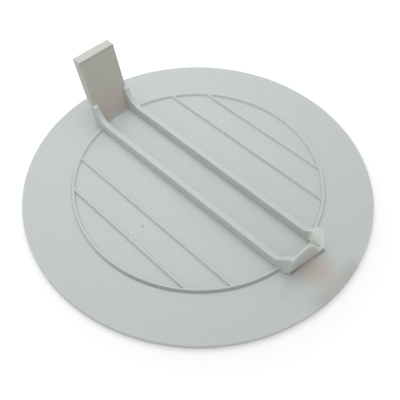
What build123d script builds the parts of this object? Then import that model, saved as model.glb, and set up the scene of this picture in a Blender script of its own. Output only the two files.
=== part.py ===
"""Round plastic end cap with a ribbed strap, one standing clip leg and the stub of a second one.

The cap is a single moulding.  A thin disc carries everything on its inner side: a raised ring
that leaves the strap's channel clear, two pairs of fine slat lines that run beside the strap,
and the strap itself, which is two rails that climb into gussets at both ends.  At one end the
gussets hold a clip leg that leans outwards.  At the other end the leg has snapped off and only
its uneven root is left.

Frame: millimetres, +Z up.  The origin is the centre of the smooth outer face, which lies on the
bench.  X runs along the strap, with the standing leg at -X and the stub at +X.
"""
import os
from math import cos, radians, sqrt, tan

from build123d import *

# ---- Driving sizes -------------------------------------------------------------------------
# disc
disc_diameter = 100.0
disc_thickness = 1.6
rim_round = 0.35  # on both edges of the rim

# fine raised lines on the inner side: the ring and the slats
line_width = 0.9  # at the foot
line_height = 0.8  # above the disc
line_draft = 8.0  # degrees, lets the mould release the lines
ring_diameter = 71.6  # on the middle of the line
slat_offsets = (18.9, 27.6)  # each pair of slats, from the strap's centre line

# strap: two rails with an open channel between them
strap_width = 13.8  # over the outer faces of the rails
rail_thickness = 1.7
rail_height = 3.0  # above the disc
rail_round = 0.25  # along both top edges of a rail

# clip leg, and the lean of the snapped one
leg_span = 72.4  # between the inner faces of the two legs, at their feet
leg_width = 12.7
leg_height = 21.9  # above the disc
leg_lean = 13.2  # degrees outwards
leg_root_thickness = 2.1
leg_tip_thickness = 3.1
leg_corner_round = 0.4  # on the corners of the tip

# gussets of the standing leg: a hollow curve from the rails up to the leg
gusset_height = 7.8  # above the disc
gusset_lead = 1.0  # how far a gusset stands in front of the leg's inner face
gusset_back = 1.4  # how far it reaches behind that face
gusset_sweep = 5.4  # radius of the hollow curve
gusset_tip_round = 0.5

# stub of the snapped leg: a wedge with a skewed broken face, between two straight gussets
stub_height = 7.8  # above the disc, before the uneven edge is broken out
stub_foot_thickness = (2.0, 4.0)  # at the -Y and the +Y side
stub_top_thickness = 0.4
stub_gusset_run = 4.4  # along the rail, from the stub's inner face at its top
stub_gusset_round = 2.0  # where the rail turns up into the straight gusset
broken_gusset_heights = (7.6, 6.2)  # above the disc, at -Y and +Y
# broken edge of the wall between the gussets: share of the channel's width, height above disc
broken_wall = ((0.0, 6.9), (0.17, 6.3), (0.35, 6.4), (0.58, 5.3), (0.76, 3.9), (0.90, 2.7), (1.0, 2.4))

# ---- Values worked out from the driving sizes ----------------------------------------------
sink = disc_thickness / 2  # everything on the disc starts this far below its inner face
ring_radius = ring_diameter / 2
rail_middle = (strap_width - rail_thickness) / 2
channel_width = strap_width - 2 * rail_thickness
lean_slope = tan(radians(leg_lean))

# Both views are drawn from the disc's inner face upwards.
side_view = Plane(origin=(0, 0, disc_thickness), x_dir=(1, 0, 0), z_dir=(0, -1, 0))
end_view = Plane(origin=(0, 0, disc_thickness), x_dir=(0, 1, 0), z_dir=(1, 0, 0))


def leg_point(side, height, depth=0.0):
    """Point in the side view of the leg at -X or +X (side -1 or +1).

    The depth runs outwards from the leg's inner face, square to that face.
    """
    reach = leg_span / 2 + height * lean_slope + depth / cos(radians(leg_lean))
    return (side * reach, height)


# ---- One rail, with a gusset at each end ---------------------------------------------------
gusset_foot = leg_point(-1, rail_height, -gusset_lead)
gusset_tip = leg_point(-1, gusset_height, -gusset_lead)
stub_top = leg_point(1, stub_height)
stub_gusset_foot = (stub_top[0] - stub_gusset_run, rail_height)

with BuildPart() as rail:
    with BuildSketch(side_view) as rail_view:
        with BuildLine():
            Polyline(
                leg_point(-1, -sink, gusset_back),
                leg_point(-1, gusset_height, gusset_back),
                gusset_tip,
                gusset_foot,
                stub_gusset_foot,
                stub_top,
                leg_point(1, stub_height, stub_top_thickness),
                leg_point(1, -sink, gusset_back),
                close=True,
            )
        make_face()
        for corner, radius in (
            (gusset_tip, gusset_tip_round),
            (gusset_foot, gusset_sweep),
            (stub_gusset_foot, stub_gusset_round),
        ):
            fillet(rail_view.vertices().sort_by_distance(corner)[0], radius)
    extrude(amount=rail_thickness / 2, both=True)
    flanks = rail.faces().filter_by(Axis.Y)
    fillet(flanks.edges().filter_by(lambda edge: edge.center().Z > disc_thickness), rail_round)

# ---- The whole cap -------------------------------------------------------------------------
with BuildPart() as end_cap:
    # disc, with its smooth outer face down
    with BuildSketch():
        Circle(disc_diameter / 2)
    extrude(amount=disc_thickness)
    fillet(end_cap.edges(), rim_round)

    # ring line
    with BuildSketch(side_view):
        with Locations((ring_radius, -sink)):
            Trapezoid(line_width, line_height + sink, 90 - line_draft,
                      align=(Align.CENTER, Align.MIN))
    revolve(axis=Axis.Z)

    # the ring stops at the rails, so the channel between them has a flat floor
    with Locations((0, 0, disc_thickness)):
        Box(ring_diameter + 2 * line_width, channel_width, line_height,
            align=(Align.CENTER, Align.CENTER, Align.MIN), mode=Mode.SUBTRACT)

    # slat lines, which end on the ring
    for slat_offset in slat_offsets:
        with BuildSketch(end_view):
            with Locations((slat_offset, -sink), (-slat_offset, -sink)):
                Trapezoid(line_width, line_height + sink, 90 - line_draft,
                          align=(Align.CENTER, Align.MIN))
        extrude(amount=sqrt(ring_radius**2 - slat_offset**2), both=True)

    # strap rails
    with Locations((0, rail_middle, 0), (0, -rail_middle, 0)):
        add(rail.part)

    # standing leg
    with BuildSketch(side_view):
        with BuildLine():
            Polyline(
                leg_point(-1, -sink),
                leg_point(-1, leg_height),
                leg_point(-1, leg_height, leg_tip_thickness),
                leg_point(-1, -sink, leg_root_thickness),
                close=True,
            )
        make_face()
    extrude(amount=leg_width / 2, both=True)
    tip_face = end_cap.faces().sort_by(Axis.Z)[-1]
    fillet(tip_face.edges(), leg_corner_round)

    # stub of the second leg
    for side, foot_thickness in zip((-1, 1), stub_foot_thickness):
        with BuildSketch(side_view.offset(-side * leg_width / 2)):
            with BuildLine():
                Polyline(
                    leg_point(1, -sink),
                    leg_point(1, stub_height),
                    leg_point(1, stub_height, stub_top_thickness),
                    leg_point(1, -sink, foot_thickness),
                    close=True,
                )
            make_face()
    loft()

    # what broke away above the stub
    with BuildSketch(end_view.offset(stub_gusset_foot[0])):
        with BuildLine():
            Polyline(
                (-strap_width, broken_gusset_heights[0]),
                (-channel_width / 2, broken_gusset_heights[0]),
                *[(channel_width * (share - 0.5), height) for share, height in broken_wall],
                (channel_width / 2, broken_gusset_heights[1]),
                (strap_width, broken_gusset_heights[1]),
                (strap_width, 2 * stub_height),
                (-strap_width, 2 * stub_height),
                close=True,
            )
        make_face()
    extrude(amount=leg_span / 2, mode=Mode.SUBTRACT)

end_cap.part.label = "end_cap"
os.makedirs("parts", exist_ok=True)
export_step(end_cap.part, "parts/end_cap.step")
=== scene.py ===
# %% [markdown]
# # A snap-in plastic end cap
# The real part is one moulding of pale grey plastic: a thin disc, fine raised lines, a strap with
# two rails, and a springy leg.  Its second leg has snapped off.  This notebook dresses the packed
# CAD part as a finished moulding.  It rebuilds the skin with softened edges and a torn break,
# gives it a worn plastic finish, and lights it like a small product on a white table.
#
# Lengths are in metres, so a size in millimetres is written as a number times `mm`.  Z is up, X
# runs along the strap with the leg at -X, and the smooth side of the disc lies at z = 0.

from math import cos, pi, radians, sin, tan

import bmesh
import bpy
from mathutils import Matrix, Vector, noise


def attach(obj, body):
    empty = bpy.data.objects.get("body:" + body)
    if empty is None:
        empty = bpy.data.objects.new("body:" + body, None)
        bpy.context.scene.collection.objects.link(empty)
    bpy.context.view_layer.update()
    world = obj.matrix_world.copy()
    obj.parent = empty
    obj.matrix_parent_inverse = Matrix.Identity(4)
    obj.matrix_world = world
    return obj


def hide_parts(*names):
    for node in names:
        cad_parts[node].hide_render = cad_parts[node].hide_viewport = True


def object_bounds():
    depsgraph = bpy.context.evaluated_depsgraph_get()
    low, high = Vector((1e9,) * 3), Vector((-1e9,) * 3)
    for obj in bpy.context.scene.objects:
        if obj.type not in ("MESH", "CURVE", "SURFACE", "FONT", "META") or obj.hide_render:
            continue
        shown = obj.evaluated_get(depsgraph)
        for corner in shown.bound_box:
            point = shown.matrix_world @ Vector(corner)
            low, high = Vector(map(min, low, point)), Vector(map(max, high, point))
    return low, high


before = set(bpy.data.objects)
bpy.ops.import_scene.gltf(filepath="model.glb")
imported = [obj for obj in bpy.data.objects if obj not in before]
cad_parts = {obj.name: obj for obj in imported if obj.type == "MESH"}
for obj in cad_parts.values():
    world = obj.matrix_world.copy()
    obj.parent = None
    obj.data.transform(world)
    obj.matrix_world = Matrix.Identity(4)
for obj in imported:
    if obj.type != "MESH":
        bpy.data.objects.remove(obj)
cad_low, cad_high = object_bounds()
mm = 0.001
print("CAD box in mm:", [round(v / mm, 2) for v in (*cad_low, *cad_high)])

# %% [markdown]
# ## The sizes that the moulding follows
# The disc's diameter and the leg's height come from the frame, so they can't drift from the CAD
# part.  The other sizes are the mould's own: wall, rails, lines and lean.  A height without a
# remark is measured from the disc's upper face.

# %% Sizes
disc_radius = (cad_high.x - cad_low.x) / 2
leg_top = cad_high.z

wall = 1.6 * mm  # thickness of the disc
sunk = wall / 2  # how deep the feet of rails and lines go into the disc

ring_radius = 35.8 * mm
slat_offsets = (18.9 * mm, 27.6 * mm)
line_foot = 1.3 * mm  # the lines are soft ridges, wide at the foot and narrow at the top
line_crest = 0.4 * mm
line_height = 0.8 * mm

strap_width = 13.8 * mm
rail_thickness = 1.7 * mm
rail_height = 3.0 * mm
channel_width = strap_width - 2 * rail_thickness

leg_foot = 36.2 * mm  # from the centre to the leg's inner face, at the disc
leg_width = 12.7 * mm
leg_root = 2.1 * mm
leg_tip = 3.1 * mm
lean = radians(13.2)

gusset_height = 7.8 * mm
gusset_lead = 1.0 * mm
gusset_back = 1.4 * mm
stub_height = 7.8 * mm


def leg_reach(height, depth=0.0):
    """How far from the cap's centre a leg is, at a height and at a depth behind its inner face."""
    return leg_foot + height * tan(lean) + depth / cos(lean)


print("leg tip reaches", round(leg_reach(leg_top - wall, leg_tip) / mm, 2), "mm")

# %% [markdown]
# ## The disc
# The disc is a plain turned shape.  A cylinder with a Bevel modifier would do, but half a section
# spun round Z gives the rim exactly the small radius that a mould cavity leaves.  `rounded` turns
# chosen corners of an outline into arcs, and `bridge` skins a row of rings.  Both serve the other
# solids too.

# %% Section of the rim
def rounded(corners, radii, steps=10):
    """The outline with an arc of the given radius in place of each corner that has one."""
    outline = []
    for index, (corner, radius) in enumerate(zip(corners, radii)):
        here = Vector(corner)
        before = (Vector(corners[index - 1]) - here).normalized()
        after = (Vector(corners[(index + 1) % len(corners)]) - here).normalized()
        if not radius:
            outline.append(here)
            continue
        half_angle = before.angle(after) / 2
        centre = here + (before + after).normalized() * (radius / sin(half_angle))
        start = here + before * (radius / tan(half_angle)) - centre
        sweep = start.angle_signed(here + after * (radius / tan(half_angle)) - centre)
        for step in range(steps + 1):
            turn = Matrix.Rotation(-sweep * step / steps, 2)
            outline.append(centre + turn @ start)
    return outline


rim_round = 0.35 * mm
rim_corners = [(0, 0), (disc_radius, 0), (disc_radius, wall), (0, wall)]
rim_section = rounded(rim_corners, (0, rim_round, rim_round, 0), steps=5)[1:-1]
print("rim section:", len(rim_section), "points")


# %% Disc
def new_object(name, bm):
    """Puts a finished bmesh into the scene as an object at the origin."""
    bmesh.ops.recalc_face_normals(bm, faces=bm.faces)
    mesh = bpy.data.meshes.new(name)
    bm.to_mesh(mesh)
    bm.free()
    made = bpy.data.objects.new(name, mesh)
    bpy.context.scene.collection.objects.link(made)
    return made


def bridge(bm, rings):
    """Closed skin between rings of points that all have the same count, with a flat cap each end."""
    rings = [[bm.verts.new(point) for point in ring] for ring in rings]
    for ring, following in zip(rings, rings[1:]):
        for k in range(len(ring)):
            bm.faces.new((ring[k - 1], ring[k], following[k], following[k - 1]))
    bm.faces.new(rings[0])
    bm.faces.new(rings[-1])


def lathe(name, section, steps):
    """A closed solid from a half section of (radius, z) points, with flat ends."""
    bm = bmesh.new()
    turns = [2 * pi * k / steps for k in range(steps)]
    bridge(bm, [[(radius * cos(a), radius * sin(a), z) for a in turns] for radius, z in section])
    return new_object(name, bm)


disc_steps = 256
disc = lathe("disc", rim_section, disc_steps)
print("disc:", len(disc.data.polygons), "faces")

# %% [markdown]
# ## Node trees written as sums
# The lines on the disc and the plastic itself are both node trees, and most of their nodes are
# plain arithmetic.  They could be placed and linked one by one, but that hides the sum in a dozen
# lines.  A small class wraps a socket and lends it the usual operators, so `1 - mask` adds the Math
# node by itself.  One more method makes any other node.

# %% Node arithmetic
class Wire:
    """A socket of a node tree, with arithmetic.  Without a socket it only makes nodes."""

    def __init__(self, tree, socket=None):
        self.tree, self.socket = tree, socket

    def make(self, kind, settings=None, inputs=None, output=0):
        """Adds any node: its settings first, then a value or a Wire for each named socket."""
        made = self.tree.nodes.new(kind)
        for label, value in (settings or {}).items():
            setattr(made, label, value)
        for label, value in (inputs or {}).items():
            for part in value if isinstance(value, list) else [value]:
                if isinstance(part, Wire):
                    self.tree.links.new(part.socket, made.inputs[label])
                else:
                    made.inputs[label].default_value = part
        return Wire(self.tree, made.outputs[output] if made.outputs else None)

    def math(self, operation, *values):
        return self.make("ShaderNodeMath", {"operation": operation}, dict(enumerate(values)))

    def __add__(self, other):
        return self.math("ADD", self, other)

    def __sub__(self, other):
        return self.math("SUBTRACT", self, other)

    def __rsub__(self, other):
        return self.math("SUBTRACT", other, self)

    def __mul__(self, other):
        return self.math("MULTIPLY", self, other)

    def __truediv__(self, other):
        return self.math("DIVIDE", self, other)

    def __pow__(self, other):
        return self.math("POWER", self, other)

    def __mod__(self, other):
        return self.math("MODULO", self, other)

    __radd__ = __add__
    __rmul__ = __mul__


# %% [markdown]
# ## The moulded lines
# A ring and four slats stand a little above the disc.  They are one rule: a path, and one small
# ridge swept along it, wide at the foot and rounded at the crest.  They could be drawn one by one,
# but a rule suits Geometry Nodes.  The tree draws the ring as two arcs that stop inside the rails,
# so the strap's channel stays clear.  It works out each slat's chord from its offset.  Change an
# offset and the slat still ends on the ring.

# %% Sizes of the moulded lines
plastic = bpy.data.materials.new("moulded plastic")
line_sizes = {
    "Ring Radius": ring_radius,
    "Ring Gap": strap_width - rail_thickness,  # the arcs end in the middle of the rails
    "Inner Offset": slat_offsets[0],
    "Outer Offset": slat_offsets[1],
    "Foot Width": line_foot,
    "Crest Width": line_crest,
    "Line Height": line_height,
    "Sunk Depth": sunk,
    "Base Height": wall,
}
print("inputs of the lines' tree, in mm:", {k: round(v / mm, 2) for k, v in line_sizes.items()})


# %% Tree that sweeps the lines
def line_tree():
    """Ring and slat lines: paths swept with one soft ridge."""
    tree = bpy.data.node_groups.new("moulded lines", "GeometryNodeTree")
    tree.interface.new_socket("Geometry", in_out="OUTPUT", socket_type="NodeSocketGeometry")
    for label in line_sizes:
        tree.interface.new_socket(label, in_out="INPUT", socket_type="NodeSocketFloat")
    tree.interface.new_socket("Finish", in_out="INPUT", socket_type="NodeSocketMaterial")
    nodes = Wire(tree)
    group = tree.nodes.new("NodeGroupInput")
    size = {socket.name: Wire(tree, socket) for socket in group.outputs if socket.name}

    # two arcs of the ring
    ring, gap = size["Ring Radius"], size["Ring Gap"]
    gap_angle = nodes.math("ARCSINE", gap / ring / 2)
    arc = nodes.make("GeometryNodeCurveArc", {"mode": "RADIUS"}, {
        "Resolution": disc_steps // 2, "Radius": ring, "Start Angle": gap_angle,
        "Sweep Angle": pi - 2 * gap_angle})
    other_arc = nodes.make("GeometryNodeTransform", None, {"Geometry": arc, "Rotation": (0, 0, pi)})

    # four slats: index 0 and 1 are the inner pair, 2 and 3 the outer pair
    index = nodes.make("GeometryNodeInputIndex")
    outer = nodes.math("GREATER_THAN", index, 1.5)  # 1 for the outer pair
    side = index % 2 * 2 - 1  # -1 or 1
    offset = size["Inner Offset"] + outer * (size["Outer Offset"] - size["Inner Offset"])
    chord = 2 * (ring ** 2 - offset ** 2) ** 0.5
    place = nodes.make("ShaderNodeCombineXYZ", None, {"Y": side * offset})
    points = nodes.make("GeometryNodePoints", None, {"Count": 4, "Position": place})
    unit_line = nodes.make("GeometryNodeCurvePrimitiveLine", None, {
        "Start": (-0.5, 0, 0), "End": (0.5, 0, 0)})
    stretch = nodes.make("ShaderNodeCombineXYZ", None, {"X": chord, "Y": 1.0, "Z": 1.0})
    slats = nodes.make("GeometryNodeInstanceOnPoints", None, {
        "Points": points, "Instance": unit_line, "Scale": stretch})
    whole_slats = nodes.make("GeometryNodeRealizeInstances", None, {"Geometry": slats})

    # the section: its sides keep their slope down to the buried foot, and its crest is rounded
    depth = size["Sunk Depth"] / size["Line Height"]
    buried = size["Foot Width"] + depth * (size["Foot Width"] - size["Crest Width"])
    section = nodes.make("GeometryNodeCurvePrimitiveQuadrilateral", {"mode": "TRAPEZOID"}, {
        "Height": size["Line Height"] + size["Sunk Depth"], "Offset": 0.0,
        "Top Width": buried, "Bottom Width": size["Crest Width"]})
    soft_section = nodes.make("GeometryNodeFilletCurve", {"mode": "POLY"}, {
        "Curve": section, "Radius": size["Crest Width"] * 0.5, "Count": 4, "Limit Radius": True})

    paths = nodes.make("GeometryNodeJoinGeometry", None, {0: [arc, other_arc, whole_slats]})
    swept = nodes.make("GeometryNodeCurveToMesh", None, {
        "Curve": paths, "Profile Curve": soft_section, "Fill Caps": True})
    lift = size["Base Height"] + (size["Line Height"] - size["Sunk Depth"]) / 2
    raised = nodes.make("GeometryNodeTransform", None, {
        "Geometry": swept, "Translation": nodes.make("ShaderNodeCombineXYZ", None, {"Z": lift})})
    plain = nodes.make("GeometryNodeRealizeInstances", None, {"Geometry": raised})
    finished = nodes.make("GeometryNodeSetMaterial", None, {
        "Geometry": plain, "Material": size["Finish"]})
    nodes.make("NodeGroupOutput", None, {0: finished})
    return tree


# %% Lines as a plain mesh
def evaluated_mesh(made):
    """The object's mesh with its modifiers applied, as new plain data."""
    graph = bpy.context.evaluated_depsgraph_get()
    graph.update()
    return bpy.data.meshes.new_from_object(made.evaluated_get(graph))


def grow(name, tree, values):
    """Runs a tree on an empty mesh, sets its inputs by identifier, and keeps the plain result."""
    made = bpy.data.objects.new(name, bpy.data.meshes.new(name))
    bpy.context.scene.collection.objects.link(made)
    modifier = made.modifiers.new(name, "NODES")
    modifier.node_group = tree
    for item in tree.interface.items_tree:
        if item.in_out == "INPUT":
            modifier[item.identifier] = values[item.name]
    grown = evaluated_mesh(made)
    made.modifiers.clear()
    made.data = grown
    return made


lines = grow("moulded_lines", line_tree(), {**line_sizes, "Finish": plastic})
print("lines:", len(lines.data.polygons), "faces,",
      "size in mm:", [round(v / mm, 2) for v in lines.dimensions])

# %% [markdown]
# ## The strap rails
# Two rails stiffen the strap.  At the standing leg they climb in a hollow curve, which spreads the
# leg's bending, and at the stub in a straight ramp.  The ramp's top broke off with the leg, lower
# on one side than on the other.  Each rail could be a box with two wedges, but one side outline
# makes it in a single piece, and the two rails then differ only in the height of the break.
# `prism` pushes an outline out sideways, and pulls its rims in along a quarter circle.

# %% Solids pushed out sideways
def inset(outline, distance):
    """A clockwise outline moved inwards by a distance."""
    moved = []
    for index, here in enumerate(outline):
        before = (outline[index - 1] - here).orthogonal().normalized()
        after = (here - outline[(index + 1) % len(outline)]).orthogonal().normalized()
        moved.append(here + (before + after) * (distance / (1 + before.dot(after))))
    return moved


def prism(name, outline, y_middle, width, soft, steps=4):
    """A clockwise outline (x, height above the disc) pushed out along Y, with rounded rims."""
    angles = [radians(90) * step / steps for step in range(steps + 1)]
    sections = [(soft * (1 - sin(a)), soft * (1 - cos(a)) - width / 2) for a in angles]
    sections += [(depth, -y) for depth, y in reversed(sections)]
    bm = bmesh.new()
    bridge(bm, [[(p.x, y_middle + y, wall + p.y) for p in inset(outline, depth)]
                for depth, y in sections])
    return new_object(name, bm)


# %% Strap rails
gusset_sweep = 5.4 * mm
stub_gusset_run = 4.4 * mm
stub_top = 0.3 * mm  # thickness that is left at the top of the stub
stub_foot = (1.8 * mm, 4.0 * mm)  # thickness at the foot, at -Y and +Y
broken_gussets = {-1: 7.6 * mm, 1: 6.2 * mm}  # height of the break on the -Y and the +Y side
ramp_sweep = 2.0 * mm
rail_soft = 0.28 * mm

ramp_foot = leg_reach(stub_height) - stub_gusset_run


def ramp_reach(height):
    """How far from the cap's centre the straight ramp is, at a height."""
    return ramp_foot + stub_gusset_run * (height - rail_height) / (stub_height - rail_height)


rails = []
for side, broken in broken_gussets.items():
    corners = [
        (-leg_reach(-sunk, gusset_back), -sunk),
        (-leg_reach(gusset_height, gusset_back), gusset_height),
        (-leg_reach(gusset_height, -gusset_lead), gusset_height),
        (-leg_reach(rail_height, -gusset_lead), rail_height),
        (ramp_foot, rail_height),
        (ramp_reach(broken), broken),
        (leg_reach(broken, gusset_back / 2), broken),
        (leg_reach(-sunk, gusset_back), -sunk),
    ]
    radii = (0, 0.4 * mm, 0.5 * mm, gusset_sweep, ramp_sweep, 0.4 * mm, 0.3 * mm, 0)
    middle = side * (strap_width - rail_thickness) / 2
    rails.append(prism("rail", rounded(corners, radii), middle, rail_thickness, rail_soft))
print("rails:", [len(rail.data.polygons) for rail in rails], "faces")

# %% [markdown]
# ## The clip leg
# The leg is thin at the root, so that it bends there.  Near the tops of the gussets its outer face
# swells, which keeps the rest stiff.  A bent box would do, but the same outline helper gives it
# the swell as two wide arcs, and rounded corners at the tip.

# %% Clip leg
leg_height = leg_top - wall
thin_height = 5.5 * mm  # the outer face swells between these two heights
thick_height = 10.0 * mm
leg_swell = 2.95 * mm  # thickness at the upper one
swell_arc = 12 * mm
leg_corners = [
    (-leg_reach(-sunk), -sunk),
    (-leg_reach(-sunk, leg_root), -sunk),
    (-leg_reach(thin_height, leg_root), thin_height),
    (-leg_reach(thick_height, leg_swell), thick_height),
    (-leg_reach(leg_height, leg_tip), leg_height),
    (-leg_reach(leg_height), leg_height),
]
leg_outline = rounded(leg_corners, (0, 0, swell_arc, swell_arc, 0.45 * mm, 0.4 * mm))
leg = prism("leg", leg_outline, 0.0, leg_width, soft=0.32 * mm)
print("leg height above the disc:", round(leg_height / mm, 2), "mm")

# %% [markdown]
# ## The snapped stub
# The second leg tore off near its root.  What is left is a wedge: its inner face still leans like
# the leg, its outer face is the fracture, and its top edge falls away to one side.  A fracture
# has no outline to draw, so the wedge is a fine grid whose top follows a few heights, and whose
# broken face is moved by noise.

# %% Broken edge
# share of the way across the channel, and height of the broken wall there in mm
broken_wall = ((0.0, 6.9), (0.17, 6.3), (0.35, 6.4), (0.58, 5.3), (0.76, 3.6), (0.90, 2.1), (1.0, 1.5))
tooth_height = 0.16 * mm
tooth_spacing = 0.7 * mm
below_gusset = 0.15 * mm  # the edge stays inside the gussets at its two ends


def stub_edge(y):
    """Height of the broken edge, with small teeth."""
    share = y / channel_width + 0.5
    teeth = tooth_height * noise.noise(Vector((y / tooth_spacing, 3.7, 0.0)))
    if share < 0:
        return broken_gussets[-1] - below_gusset + teeth
    if share > 1:
        return broken_gussets[1] - below_gusset + teeth
    for (start, low), (end, high) in zip(broken_wall, broken_wall[1:]):
        if share <= end:
            return (low + (high - low) * (share - start) / (end - start)) * mm + teeth


print("broken edge, from -Y to +Y in mm:",
      [round(stub_edge(leg_width * step / 6) / mm, 1) for step in range(-3, 4)])

# %% Stub
stub_columns = 110
stub_rows = 40
tear_depth = 0.12 * mm  # roughness of the fracture
streak_size = (1.6 * mm, 0.9 * mm)  # across and up the fracture
grain_size = (0.5 * mm, 0.4 * mm)
thinnest = 0.15 * mm


def stub_thickness(y, height):
    """Thickness of the stub: a hollow wedge that is thickest at its foot, with a rough face."""
    foot = stub_foot[0] + (stub_foot[1] - stub_foot[0]) * (y / leg_width + 0.5)
    streak = noise.noise(Vector((y / streak_size[0], height / streak_size[1], 8.2)))
    grain = noise.noise(Vector((y / grain_size[0], height / grain_size[1], 1.4)))
    wedge = stub_top + (foot - stub_top) * (1 - height / stub_height) ** 1.5
    return max(wedge + tear_depth * (streak + 0.5 * grain), thinnest)


def snapped_stub():
    """The torn root of the second leg, as rings round its wall from side to side."""
    rings = []
    for column in range(stub_columns + 1):
        y = leg_width * (column / stub_columns - 0.5)
        heights = [-sunk + (stub_edge(y) + sunk) * row / stub_rows for row in range(stub_rows + 1)]
        inner = [(leg_reach(h), y, wall + h) for h in heights]
        outer = [(leg_reach(h, stub_thickness(y, h)), y, wall + h) for h in reversed(heights)]
        rings.append(inner + outer)
    bm = bmesh.new()
    bridge(bm, rings)
    return new_object("stub", bm)


stub = snapped_stub()
print("stub:", len(stub.data.polygons), "faces")

# %% [markdown]
# ## One moulding
# All the solids become a single closed skin, because the real part is one shot of plastic.  They
# could also stay as solids that overlap, but then each foot line would be a crossing of two
# surfaces, with faces hidden inside.  An exact Boolean gives a single skin and keeps the crisp foot
# lines that the real moulding has.  Normals are weighted by face area, so the wide flat faces stay
# flat and only the narrow softened rims carry the highlight.

# %% Fuse
def fuse(base, tools):
    """Joins solids into the base, one exact union at a time, and removes them."""
    for tool in tools:
        union = base.modifiers.new("union", "BOOLEAN")
        union.operation = "UNION"
        union.solver = "EXACT"
        union.use_self = True  # the slats cross the ring within one mesh
        union.object = tool
        joined = evaluated_mesh(base)
        base.modifiers.clear()
        base.data = joined
        bpy.data.objects.remove(tool)
    return base


cap = fuse(disc, [lines, *rails, leg, stub])
cap.name = cap.data.name = "cap_moulding"
print("fused:", len(cap.data.polygons), "faces")

# %% Shade and check
cap.data.shade_smooth()
cap.data.set_sharp_from_angle(angle=radians(38))  # foot lines and the torn edge stay crisp
weighted = cap.modifiers.new("weighted normals", "WEIGHTED_NORMAL")
weighted.keep_sharp = True
cap.data = evaluated_mesh(cap)
cap.modifiers.clear()
cap.data.materials.clear()
cap.data.materials.append(plastic)

skin = bmesh.new()
skin.from_mesh(cap.data)
open_edges = sum(not edge.is_manifold for edge in skin.edges)
print("moulding:", len(skin.faces), "faces,", open_edges, "open edges, volume in cm3:",
      round(skin.calc_volume() * 1e6, 2))
skin.free()

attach(cap, "root")
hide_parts("end_cap")

# %% [markdown]
# ## The plastic: places and masks
# Injection-moulded plastic is never one flat grey.  It could be painted on an image, but an image
# has to be wrapped round the part and goes soft up close.  Here everything is worked out from the
# place on the part instead.  Each effect is a mask between 0 and 1, and the masks come from three
# small helpers: a ramp along a measure, a cloud of noise, and a round spot.

# %% Mask helpers
plastic.use_nodes = True
nodes = Wire(plastic.node_tree)
on_cap = nodes.make("ShaderNodeTexCoord", output="Object")
facing = nodes.make("ShaderNodeTexCoord", output="Normal")


def part_of(vector, letter):
    """The X, Y or Z of a vector."""
    return nodes.make("ShaderNodeSeparateXYZ", None, {"Vector": vector}, letter)


def ramp(value, low, high):
    """0 below low, 1 above high, with a smooth step between them."""
    return nodes.make("ShaderNodeMapRange", {"interpolation_type": "SMOOTHSTEP"}, {
        "Value": value, "From Min": low, "From Max": high})


def band(value, rise, fall):
    """1 between two ramps: one up over the range rise, one down over the range fall."""
    return ramp(value, *rise) * (1 - ramp(value, *fall))


def clouds(size, seed, detail=3.0, stretch=(1, 1, 1)):
    """Noise between 0 and 1 whose features are about the given size."""
    place = nodes.make("ShaderNodeMapping", None, {"Vector": on_cap, "Scale": stretch})
    return nodes.make("ShaderNodeTexNoise", {"noise_dimensions": "4D"}, {
        "Vector": place, "W": seed, "Scale": 1 / size, "Detail": detail})


def spot(centre, inner, outer):
    """1 within the inner radius of a point, 0 beyond the outer radius."""
    away = nodes.make("ShaderNodeVectorMath", {"operation": "DISTANCE"},
                      {0: on_cap, 1: centre}, output="Value")
    return 1 - ramp(away, inner, outer)


x, y, z = (part_of(on_cap, letter) for letter in "XYZ")
aside = nodes.math("ABSOLUTE", y)  # from the strap's middle line
from_centre = (x ** 2 + y ** 2) ** 0.5
facing_up = part_of(facing, "Z")
facing_side = nodes.math("ABSOLUTE", part_of(facing, "Y"))
print("measures on the cap:", len(plastic.node_tree.nodes), "nodes")

# %% [markdown]
# ## The plastic: what the mould and the hands left
# The melt leaves wide, faint clouds of tone and a finer mottle.  Dark specks are burnt grains of
# plastic.  Scuffs are noise stretched along X or Y, so they read as short strokes, and they show
# only where the mottle lets them.  Dust settles in the creases, which the Ambient Occlusion node
# finds.  A pit, a pip, a dent and a pale speck are single spots.  The pit and the dent also carry
# painted shade, and the pip a painted highlight.

# %% Tone, scuffs and flaws
crease_reach = 1.0 * mm

melt = clouds(38 * mm, 1.0, detail=2.0)
mottle = clouds(6 * mm, 2.0)
speck = ramp(clouds(0.9 * mm, 3.0, detail=2.0), 0.70, 0.78)
scuffs = (ramp(clouds(1.6 * mm, 4.0, stretch=(0.12, 1.0, 1.0)), 0.60, 0.75)
          + ramp(clouds(1.6 * mm, 5.0, stretch=(1.0, 0.10, 1.0)), 0.62, 0.77)) * ramp(mottle, 0.4, 0.7)
crease = 1 - nodes.make("ShaderNodeAmbientOcclusion", {"samples": 8}, {"Distance": crease_reach}, "AO")
dust = ramp(crease, 0.45, 0.9) * ramp(clouds(3 * mm, 6.0), 0.25, 0.65)

# the pit and the dent get painted shade as well as relief, the pip a painted highlight as well as
# relief, and the pale speck by the leg's foot is only a paler spot
pit = spot((0.6 * mm, -22.4 * mm, wall), 0.2 * mm, 0.7 * mm)
pip = spot((26.2 * mm, 2.6 * mm, wall), 0.2 * mm, 0.6 * mm)
dent = spot((41.0 * mm, -12.1 * mm, wall), 0.5 * mm, 1.3 * mm)
pale_speck = spot((-35.6 * mm, -1.0 * mm, wall), 0.2 * mm, 0.5 * mm)
print("with tone, scuffs and flaws:", len(plastic.node_tree.nodes), "nodes")

# %% [markdown]
# ## The plastic: the torn end
# Where the leg tore off, a dark line of painted contact shadow runs along the root of the break,
# and a warm painted shadow lies on the disc just beyond it.  Further out the disc is darker and
# warmer up to the rim.  Plastic that is stretched before it tears turns white, so one end of the
# stub is pale, and painted light brightens its upright faces there.  The outer side of the ring
# and its foot carry painted shade on the side towards the camera.

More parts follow.
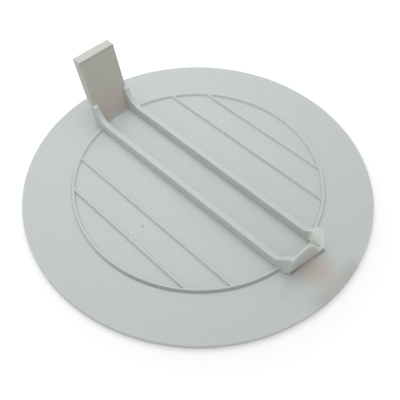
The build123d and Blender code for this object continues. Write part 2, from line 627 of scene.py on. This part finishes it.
# %% Painted shadow, shade and stress at the break
stub_foot_slope = (stub_foot[1] - stub_foot[0]) / leg_width
root_line = leg_foot + stub_foot[0] + stub_foot_slope * (y + leg_width / 2)
from_root = nodes.math("ABSOLUTE", x - root_line - 0.2 * mm)
on_disc = ramp(z, wall - 0.2 * mm, wall - 0.1 * mm)

# painted shadow: a warm, mottled darkening on the disc just beyond the stub, where its shadow falls
stub_shadow_tint = spot((42.5 * mm, 0.0, wall), 1.0 * mm, 7.0 * mm) * (0.7 + 0.6 * clouds(2.5 * mm, 9.0))
# the disc gets darker and warmer towards the rim, beyond the stub
rim_darkening = (ramp(from_centre, 45.0 * mm, 49.5 * mm) * (1 - ramp(aside, 5.0 * mm, 12.0 * mm))
             * ramp(x, 0.0, 10.0 * mm))
# painted contact shadow: a dark line on the disc along the foot of the break
painted_root_shadow = ((1 - ramp(from_root, 0.1 * mm, 0.8 * mm)) * (1 - ramp(aside, 5.4 * mm, 6.5 * mm))
             * on_disc * (1 - ramp(z, wall, wall + 1.1 * mm)))
# stress whitening at the +Y end of the stub, plus painted light: strongest on upright faces, which lie
# in shade, and weak on faces that point up
whitening_and_painted_light = (ramp(x, 34.6 * mm, 36.4 * mm) * ramp(y, 3.6 * mm, 4.8 * mm)
            * ramp(z, wall + 0.4 * mm, wall + 1.4 * mm) * (1 - 0.9 * ramp(facing_up, 0.3, 0.8)))

# painted shade: the ring's outer side and foot, darkened on the side towards the camera, which looks
# away from the lamp
ring_foot = band(from_centre, (35.8 * mm, 36.1 * mm), (36.4 * mm, 36.8 * mm))
shaded_side = (0.74 * x - 0.67 * y) / from_centre  # 1 in the direction where the ring's painted shade is darkest
ring_painted_shade = (ring_foot * ramp(shaded_side, 0.55, 0.92) * ramp(aside, 7.0 * mm, 7.6 * mm) * on_disc)
print("with the torn end:", len(plastic.node_tree.nodes), "nodes")

# %% [markdown]
# ## The plastic: the leg's shaded face
# The leg's inner face gets little of the lamp.  It carries painted warm shade, browner and a
# little darker than the plastic, reddish low and olive higher up, and so do the upper parts of the
# leg's sides.  A thin painted shadow line runs under the top edge, and the top has a faint film.
# The gussets stand in front of that face and stay clear of the painted shade.  The face leans, so
# the mask measures the depth behind it, not a place on X.

# %% Painted shade and film on the leg
behind = -leg_foot - x - (z - wall) * tan(lean)  # depth behind the leg's inner face
inner_face = band(behind, (-0.15 * mm, -0.05 * mm), (0.1 * mm, 0.25 * mm))
on_gusset = ramp(aside, 5.0 * mm, 5.2 * mm) * (1 - ramp(z, wall + 7.7 * mm, wall + 8.1 * mm))
# painted warm shade on the leg's inner face, browner and a little darker than the plastic
leg_warm_shade = (inner_face * ramp(z, wall, wall + 1.5 * mm) * (0.7 + 0.5 * clouds(7 * mm, 10.0))
        * (1 - on_gusset))
# painted warm shade on the upper parts of the sides
side_warm_shade = 0.65 * ramp(z, wall + 6 * mm, wall + 10 * mm) * ramp(facing_side, 0.5, 0.9)
# painted shadow: a thin dark band under the leg's top edge
edge_shadow_line = inner_face * ramp(z, leg_top - 0.9 * mm, leg_top - 0.5 * mm)
top_film = ramp(z, leg_top - 0.3 * mm, leg_top - 0.05 * mm)
print("with the leg's film:", len(plastic.node_tree.nodes), "nodes")

# %% [markdown]
# ## The plastic: colour, sheen and relief
# Each mask now lays its own colour over the last, as thin coats would.  The order matters: dirt
# and painted shade lie over the plastic, and the whitened end of the stub, the pip's painted
# highlight and the pale speck show through them.  Roughness and relief read the same masks, so a
# scuff is also a little rough and a pit really sinks in.  Pale plastic lets light bleed in, so a
# constant amount of subsurface softens the shade.

# %% Coats of colour
def tint(factor, under, over):
    """Lays one colour over another by a factor."""
    return nodes.make("ShaderNodeMix", {"data_type": "RGBA"}, {0: factor, 6: under, 7: over}, 2)


# colours of the painted warm shade on the leg, low and high
low_shade_tint = (0.502, 0.462, 0.415, 1)
high_shade_tint = (0.472, 0.480, 0.408, 1)
# painted highlight on the pip, and the colour of the pale speck
highlight_and_speck_colour = (0.85, 0.87, 0.85, 1)

coats = (
    (mottle * 0.35, (0.585, 0.605, 0.590, 1)),
    (speck * 0.25, (0.42, 0.42, 0.39, 1)),
    (scuffs * 0.12, (0.66, 0.67, 0.65, 1)),
    (dust * 0.04, (0.20, 0.18, 0.15, 1)),
    # painted contact shadow at the break, and painted shade on the ring's near side
    (painted_root_shadow * 0.6 + ring_painted_shade * 0.40, (0.17, 0.16, 0.14, 1)),
    # painted warm shadow beyond the stub
    (stub_shadow_tint, (0.51, 0.465, 0.415, 1)),
    # darker and warmer towards the rim beyond the stub
    (rim_darkening * 0.32, (0.25, 0.24, 0.19, 1)),
    # painted warm shade on the leg, reddish low and olive higher up
    (leg_warm_shade + side_warm_shade, tint(ramp(z, 9 * mm, 18 * mm), low_shade_tint, high_shade_tint)),
    # painted shadow line under the leg's top edge
    (edge_shadow_line * 0.6, (0.34, 0.33, 0.30, 1)),
    (top_film * 0.9, (0.530, 0.530, 0.495, 1)),
    # stress whitening and painted light at the stub's +Y end
    (whitening_and_painted_light * 0.95, (0.88, 0.91, 0.86, 1)),
    # painted shade in the pit and the dent
    (pit * 0.45 + dent * 0.12, (0.30, 0.30, 0.28, 1)),
    # painted highlight on the pip, and the pale speck
    (pip * 0.2 + pale_speck * 0.6, highlight_and_speck_colour),
)
colour = tint(melt, (0.535, 0.572, 0.555, 1), (0.560, 0.588, 0.572, 1))
for mask, shade in coats:
    colour = tint(mask, colour, shade)
print("colour:", len(coats), "coats over the melt")

# %% Sheen and relief
roughness = 0.46 + 0.06 * melt + 0.10 * scuffs + 0.15 * dust + 0.1 * whitening_and_painted_light
mould_grain = 0.010 * mm * clouds(0.30 * mm, 7.0, detail=2.0)
sink_marks = 0.05 * mm * clouds(9 * mm, 8.0, detail=1.0)
relief = (mould_grain + sink_marks - 0.006 * mm * scuffs
          + 0.08 * mm * pip - 0.08 * mm * pit - 0.03 * mm * dent)
bump = nodes.make("ShaderNodeBump", None, {"Height": relief, "Distance": 1.0, "Strength": 1.0})

surface = plastic.node_tree.nodes["Principled BSDF"]
for label, wire in {"Base Color": colour, "Roughness": roughness, "Normal": bump}.items():
    plastic.node_tree.links.new(wire.socket, surface.inputs[label])
surface.inputs["Subsurface Weight"].default_value = 0.6
surface.inputs["Subsurface Radius"].default_value = (1.0, 0.95, 0.9)
surface.inputs["Subsurface Scale"].default_value = 1.0 * mm
print("plastic:", len(plastic.node_tree.nodes), "nodes")

# %% [markdown]
# ## The table
# The table is plain white.  More light would turn it pure white, but would bleach the plastic too.
# So it also glows, and only the camera and reflections see the glow: a little by the rim, where
# the soft contact shadow stays, and more further out.  No extra light falls on the plastic.

# %% White table
table_half_width = 2.0
near_glow, far_glow = 0.225, 0.50  # at the rim, and at far_reach from the middle
far_reach = 1.8 * disc_radius

bm = bmesh.new()
bmesh.ops.create_grid(bm, x_segments=1, y_segments=1, size=table_half_width)
floor = new_object("table", bm)

paper = bpy.data.materials.new("white table")
paper.use_nodes = True
floor.data.materials.append(paper)
sheet = paper.node_tree.nodes["Principled BSDF"]
sheet.inputs["Base Color"].default_value = (0.82, 0.82, 0.82, 1)
sheet.inputs["Roughness"].default_value = 0.9
sheet.inputs["Specular IOR Level"].default_value = 0.0
sheet.inputs["Emission Strength"].default_value = 1.0


def seen_ray(maker):
    """1 for rays from the camera, a reflection or a clear body, 0 for the light in the room."""
    rays = [maker.make("ShaderNodeLightPath", output=label)
            for label in ("Is Camera Ray", "Is Glossy Ray", "Is Transmission Ray")]
    return maker.math("MAXIMUM", maker.math("MAXIMUM", rays[0], rays[1]), rays[2])


paper_nodes = Wire(paper.node_tree)
on_table = paper_nodes.make("ShaderNodeTexCoord", output="Object")
from_middle = paper_nodes.make("ShaderNodeVectorMath", {"operation": "LENGTH"}, {0: on_table}, "Value")
glow = paper_nodes.make("ShaderNodeMapRange", None, {
    "Value": from_middle, "From Min": disc_radius, "From Max": far_reach,
    "To Min": near_glow, "To Max": far_glow})
paper.node_tree.links.new((seen_ray(paper_nodes) * glow).socket, sheet.inputs["Emission Color"])
print("table:", round(2 * table_half_width, 1), "m wide")

# %% [markdown]
# ## The room
# The world is the room's fill: an even light from all sides, which does most of the work on a pale
# matt part.  The camera and reflections see it as white.  The light itself is a softer grey, so
# the plastic keeps its own colour.

# %% Room
fill_light = (0.707, 0.70, 0.70, 1)
white = (1, 1, 1, 1)

room = bpy.data.worlds.new("room")
bpy.context.scene.world = room
room.use_nodes = True
room_nodes = Wire(room.node_tree)
air = room.node_tree.nodes["Background"]
air.inputs["Strength"].default_value = 1.0
room_colour = room_nodes.make("ShaderNodeMix", {"data_type": "RGBA"}, {
    0: seen_ray(room_nodes), 6: fill_light, 7: white}, 2)
room.node_tree.links.new(room_colour.socket, air.inputs["Color"])
print("fill light:", fill_light[:3])

# %% [markdown]
# ## One soft lamp
# Fill alone would leave the raised lines flat.  A small softbox hangs close above the leg's half
# of the disc and points straight down.  It brightens that half a little, and it leaves a readable
# shade on the upright faces of the rails, the leg and the lines.  A sun or a spot could do that
# too, but with hard shadows.

# %% Soft lamp
lamp = bpy.data.objects.new("softbox", bpy.data.lights.new("softbox", "AREA"))
bpy.context.scene.collection.objects.link(lamp)
lamp.data.size = 140 * mm
lamp.data.energy = 0.125
lamp.data.color = (0.95, 1.0, 1.01)
lamp.location = Vector((-66, 22, 165)) * mm
print("softbox:", lamp.data.energy, "W,", round(lamp.location.z / mm), "mm above the table")

# %% [markdown]
# ## Camera
# The camera looks down across the strap, so that the leg, both rails and the torn stub all show.
# A place, a point to look at and a slight roll set the view: `to_track_quat` turns the line
# between the two points into a rotation.  The part is small, so the near clipping distance is
# short, or a close view would cut into the rim.

# %% Camera
camera = bpy.data.objects.new("camera", bpy.data.cameras.new("camera"))
bpy.context.scene.collection.objects.link(camera)
bpy.context.scene.camera = camera
camera.data.lens = 47.3
camera.data.sensor_width = 36
camera.data.clip_start = 5 * mm
place = Vector((65.9, -69.4, 120.1)) * mm
aim = Vector((5.52, -5.11, 1.61)) * mm
roll = radians(1.07)
look = (aim - place).to_track_quat("-Z", "Y").to_matrix() @ Matrix.Rotation(roll, 3, "Z")
camera.matrix_world = Matrix.Translation(place) @ look.to_4x4()

bpy.context.scene.view_settings.view_transform = "Standard"  # colours show as they are written
print("camera distance in mm:", round((place - aim).length / mm, 1))
